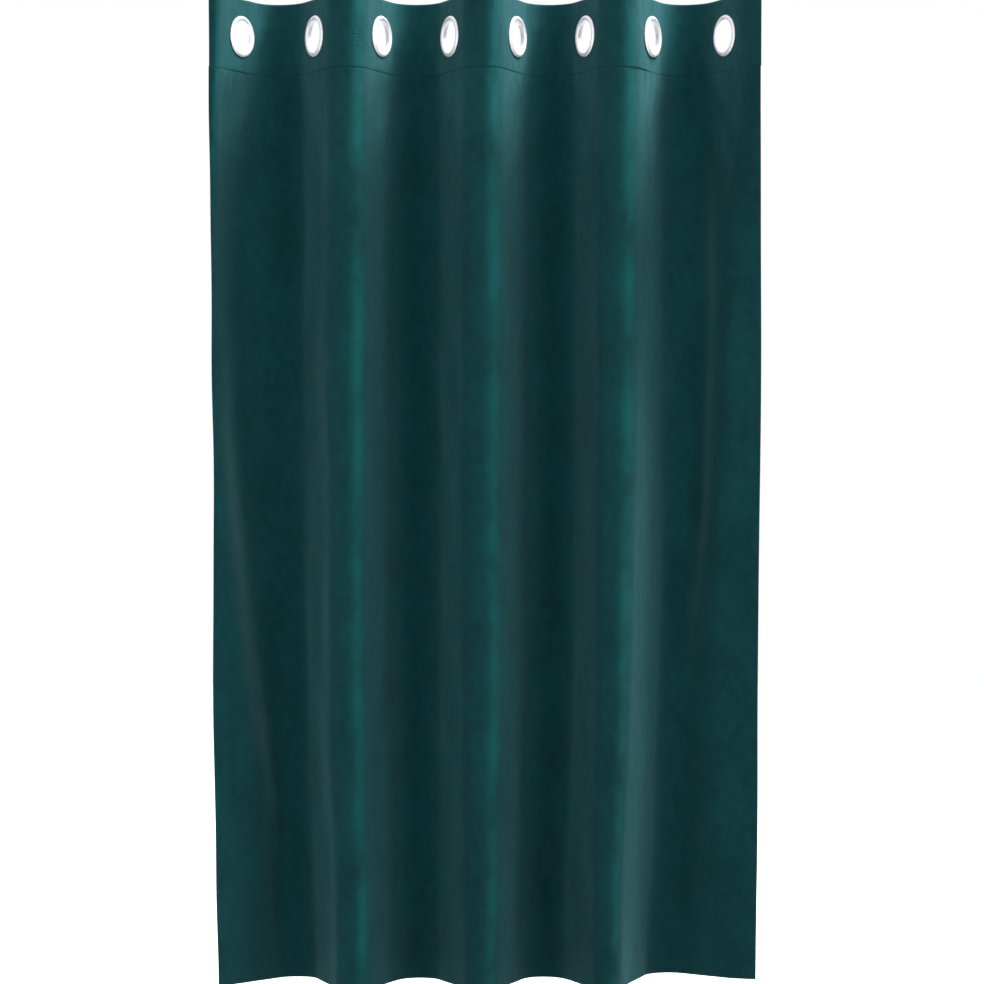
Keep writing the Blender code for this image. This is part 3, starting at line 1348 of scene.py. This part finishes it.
@dataclass
class Panel(VelvetSheet):
    """The body of the curtain, from just inside the seam to the hem.

    seam_rows are the close rows' distances below the seam, and hem_rows those above the
    hem, both in millimetres.
    """

    row_step: float = 9.2 * MM
    seam_rows: tuple[float, ...] = (-2.4, -1.2, -0.3, 0.6, 1.6, 3.0, 5.0, 8.0, 12.5, 18.5)
    hem_rows: tuple[float, ...] = (5.0, 2.4, 1.2, 0.5, 0.0)
    tuck: float = 2.4 * MM
    pucker: Relief = field(
        default_factory=lambda: Relief(
            seed=5, height=0.2 * MM, widths=(9 * MM, 34 * MM), drops=(25 * MM, 90 * MM)
        )
    )
    pucker_peak: float = 9 * MM
    pucker_rise: float = 8 * MM
    pucker_margin: float = 15 * MM
    calm_share: float = 0.3
    calm_depth: float = 60 * MM
    seam_fullness: float = 0.25
    seam_round: float = 2.4 * MM
    hem_fullness: float = 0.5
    hem_round: float = 2.0 * MM
    corner_shift: float = 3.2 * MM
    corner_rise: float = 150 * MM
    corner_width: float = 80 * MM
    soft_folds: tuple[SoftFold, ...] = (
        SoftFold(
            Hand.LEFT,
            path=(
                (0.6, -0.358),
                (0.698, -0.348),
                (0.837, -0.335),
                (0.976, -0.319),
                (1.185, -0.290),
            ),
            faded=(0.45, 0.68, 1.0, 1.27),
            proud=6.0 * MM,
        ),
        SoftFold(
            Hand.RIGHT,
            path=((0.42, 0.321), (0.698, 0.3125), (0.837, 0.300), (0.976, 0.289)),
            faded=(0.15, 0.40, 0.75, 1.05),
            proud=4.5 * MM,
            painted_sheen_amount=0.65,
        ),
    )

    def heights(self) -> np.ndarray:
        """List the rows, close together at the seam and the hem.

        Returns:
            Their heights, from the top down.
        """
        top = self.hang.heading_depth + np.array(self.seam_rows) * MM
        low = self.hang.drop - np.array(self.hem_rows) * MM
        steps = round((low[0] - top[-1]) / self.row_step)
        even = np.linspace(top[-1], low[0], steps + 1)[1:-1]
        return -np.concatenate([top, even, low])

    def fullness(self, z: float) -> float:
        """Draw the top into the seam, and round the hem's fold.

        Args:
            z: The height.

        Returns:
            The thickness there, as a share of the whole.
        """
        below = self.hang.below_seam(z)
        top = thinned(self.seam_fullness, -self.tuck, self.seam_round, below)
        low = thinned(self.hem_fullness, 0.0, self.hem_round, self.hang.drop + z)
        return float(min(top, low))

    def relief(self, stations: np.ndarray, z: float) -> np.ndarray:
        """Add the puckers that the stitching draws up under the seam.

        Args:
            stations: Distances from the left edge, with the cloth laid flat.
            z: The row's height.

        Returns:
            How far the cloth stands proud there.
        """
        below = max(0.0, self.hang.below_seam(z))
        gathered = min(1.0, below / self.pucker_rise * math.exp(1 - below / self.pucker_peak))
        inside = smooth_step(0.0, self.pucker_margin, self.hang.from_edge(stations))
        puckers = inside * self.pucker.at(stations, z)
        whole = super().relief(stations, z) * thinned(self.calm_share, 0.0, self.calm_depth, below)
        return whole + gathered * puckers

    def painted_sheen(self, points: np.ndarray, z: float) -> np.ndarray:
        """Give the painted sheen's share along the soft folds, from 0 to 1."""
        return sum(fold.painted_sheen(points, z) for fold in self.soft_folds)

    def settled(self, points: np.ndarray, stations: np.ndarray, z: float) -> np.ndarray:
        """Curl the lower left corner in, and bring the soft folds forward.

        Args:
            points: The row's (x, y) points.
            stations: Distances from the left edge, with the cloth laid flat.
            z: The row's height.

        Returns:
            The shifted points.
        """
        low = smooth_step(self.hang.drop - self.corner_rise, self.hang.drop, -z)
        near = 1 - smooth_step(0.0, self.corner_width, stations)
        forward = sum(fold.forward(points, z) for fold in self.soft_folds)
        points = points.copy()
        points[:, 0] += self.corner_shift * low * near
        points[:, 1] -= forward
        return points


@dataclass
class SeamStitches:
    """The line of stitches that holds the heading, sunk in the seam."""

    hang: Hang
    pitch: float = 3.1 * MM
    length: float = 2.5 * MM
    radius: float = 0.4 * MM
    proud: float = 0.42 * MM
    margin: float = 4 * MM
    sides: int = 8
    rings: int = 6
    finish: ThreadFinish = field(default_factory=ThreadFinish)

    def build(self) -> bpy.types.Object:
        """Model one stitch and copy it along the seam.

        Returns:
            The row of stitches, as one piece.
        """
        deselect_all()
        bpy.ops.mesh.primitive_uv_sphere_add(
            segments=self.sides, ring_count=self.rings, radius=self.radius
        )
        pattern = bpy.context.object
        pattern.data.transform(Matrix.Diagonal((self.length / 2 / self.radius, 1, 1, 1)))
        z = -self.hang.heading_depth
        count = int((self.hang.flat_width - 2 * self.margin) / self.pitch)
        stations = self.margin + self.pitch * (np.arange(count) + 0.5)
        points, fronts = self.hang.row(z, stations)
        seam = bmesh.new()
        for (x, y), (fx, fy) in zip(points, fronts):
            lie = Matrix(((-fy, fx, 0), (fx, fy, 0), (0, 0, 1))).transposed().to_4x4()
            centre = Vector((x + fx * self.proud, y + fy * self.proud, z))
            stitch = pattern.data.copy()
            stitch.transform(Matrix.Translation(centre) @ lie)
            seam.from_mesh(stitch)
            bpy.data.meshes.remove(stitch)
        bmesh.ops.recalc_face_normals(seam, faces=seam.faces)
        mesh = bpy.data.meshes.new("seam_stitches")
        seam.to_mesh(mesh)
        seam.free()
        bpy.data.objects.remove(pattern)
        row = linked("seam_stitches", mesh)
        mesh.materials.append(self.finish.material())
        mesh.shade_smooth()
        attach(row, "root")
        log.info("%s: %d stitches", row.name, count)
        return row


# ------------------------------------------------------------------ studio


@dataclass(frozen=True)
class Softbox:
    """A soft area light, placed round the curtain by its bearing.

    bearing is its turn from the front towards the right and lift its rise above the
    target, both in degrees.
    """

    name: str
    bearing: float
    lift: float
    distance: float
    target_height: float
    width: float
    height: float
    watts: float

    def build(self) -> None:
        """Set up the light."""
        data = bpy.data.lights.new(self.name, "AREA")
        data.shape = "RECTANGLE"
        data.size = self.width
        data.size_y = self.height
        data.energy = self.watts
        lamp = linked(self.name, data)
        bearing, lift = math.radians(self.bearing), math.radians(self.lift)
        outward = Vector((math.sin(bearing), -math.cos(bearing), 0.0)) * math.cos(lift)
        outward.z = math.sin(lift)
        lamp.location = Vector((0.0, 0.0, self.target_height)) + self.distance * outward
        lamp.rotation_euler = (-outward).to_track_quat("-Z", "Y").to_euler()
        lamp.visible_camera = False


@dataclass
class Studio:
    """A plain pale floor, soft light and the camera."""

    camera_place: Point = (0.0111, -4.300, -0.6864)
    lens: float = 112.98
    sensor: float = 36.0
    sight: float = 60.0
    floor_height: float = -1.395
    floor_size: float = 14.0
    floor_shade: Colour = (0.8, 0.8, 0.8)
    floor_roughness: float = 0.9
    floor_glow: float = 0.92
    surround: float = 0.155
    softboxes: tuple[Softbox, ...] = (
        # name, bearing, lift, distance, target_height, width, height, watts
        Softbox("top_right", 103, 61, 5.0, -0.2, 1.3, 1.1, 116),
        Softbox("top_front_right", 70, 70, 5.0, -0.2, 0.8, 0.8, 28),
        Softbox("near_top_right", 97, 50, 1.7, -0.03, 0.5, 0.4, 36),
        Softbox("high_right", 85, 55, 5.0, -0.3, 0.7, 0.7, 38),
        Softbox("high_front_right", 60, 55, 5.0, -0.3, 0.7, 0.7, 59),
        Softbox("high_front", 30, 55, 5.0, -0.3, 0.7, 0.7, 18),
        Softbox("high_left", -90, 60, 5.0, -0.3, 0.5, 0.7, 46),
        Softbox("front_right", 40, 0, 3.0, -0.69, 0.6, 2.4, 19.2),
        Softbox("front_near_left", -20, 0, 3.0, -0.69, 0.6, 2.4, 25.9),
        Softbox("front_left", -40, 0, 3.0, -0.69, 0.6, 2.4, 10.2),
        Softbox("back_right", 140, 20, 3.5, -0.69, 1.5, 2.0, 30),
        Softbox("back_left", 215, 25, 3.5, -0.69, 1.5, 2.0, 25),
    )

    def camera(self) -> None:
        """Set up the camera, level and square to the curtain."""
        data = bpy.data.cameras.new("camera")
        data.lens = self.lens
        data.sensor_width = self.sensor
        data.clip_end = self.sight
        camera = linked("camera", data)
        camera.location = self.camera_place
        camera.rotation_euler = (math.pi / 2, 0.0, 0.0)
        bpy.context.scene.camera = camera

    def floor(self) -> None:
        """Lay the pale floor under the hem."""
        deselect_all()
        bpy.ops.mesh.primitive_plane_add(
            size=self.floor_size, location=(0.0, 0.0, self.floor_height)
        )
        floor = bpy.context.object
        floor.name = "floor"
        pale, bench = new_material("pale_floor")
        bench.surface(
            {
                "Base Color": self.floor_shade,
                "Roughness": self.floor_roughness,
                "Emission Color": WHITE,
                "Emission Strength": self.floor_glow,
            }
        )
        floor.data.materials.append(pale)
        floor.visible_diffuse = False

    def surroundings(self) -> None:
        """Make the surroundings white to the eye and to metal, and dimmer as a light."""
        world = bpy.data.worlds.new("surroundings")
        world.use_nodes = True
        bpy.context.scene.world = world
        bench = NodeBench(world.node_tree)
        dim = bench.signal("ShaderNodeLightPath", "Is Diffuse Ray", {}, {})
        strength = 1.0 - (1.0 - self.surround) * dim
        values = {"Color": WHITE, "Strength": strength}
        background = bench.node("ShaderNodeBackground", {}, values)
        bench.node("ShaderNodeOutputWorld", {}, {"Surface": background.outputs[0]})

    def build(self) -> None:
        """Set up everything, with plain colours in the picture."""
        self.camera()
        self.floor()
        self.surroundings()
        for softbox in self.softboxes:
            softbox.build()
        bpy.context.scene.view_settings.view_transform = "Standard"
        bpy.context.scene.view_settings.look = "None"


def main() -> None:
    """Build the studio and the curtain, piece by piece."""
    logging.basicConfig(level=logging.INFO, format="%(name)s: %(message)s")
    Studio().build()
    hang = Hang()
    pile = VelvetFinish().material()
    backing = BackingFinish().material()
    doubled, single = 2.4 * MM, 1.6 * MM
    eyelets = Eyelets(hang, cloth_thickness=doubled)
    rings = eyelets.build()
    heading = Heading(
        hang,
        "heading_sheet",
        tuple(f"heading_{number}" for number, _ in enumerate(eyelets.flanks, start=1)),
        "heading_velvet",
        thickness=doubled,
        columns=400,
        overhang=0.8 * MM,
        eyelets=eyelets,
    ).build(pile, backing)
    panel = Panel(
        hang, "panel_sheet", ("panel",), "velvet", thickness=single, columns=310
    ).build(pile, backing)
    stitches = SeamStitches(hang).build()


if __name__ == "__main__":
    main()
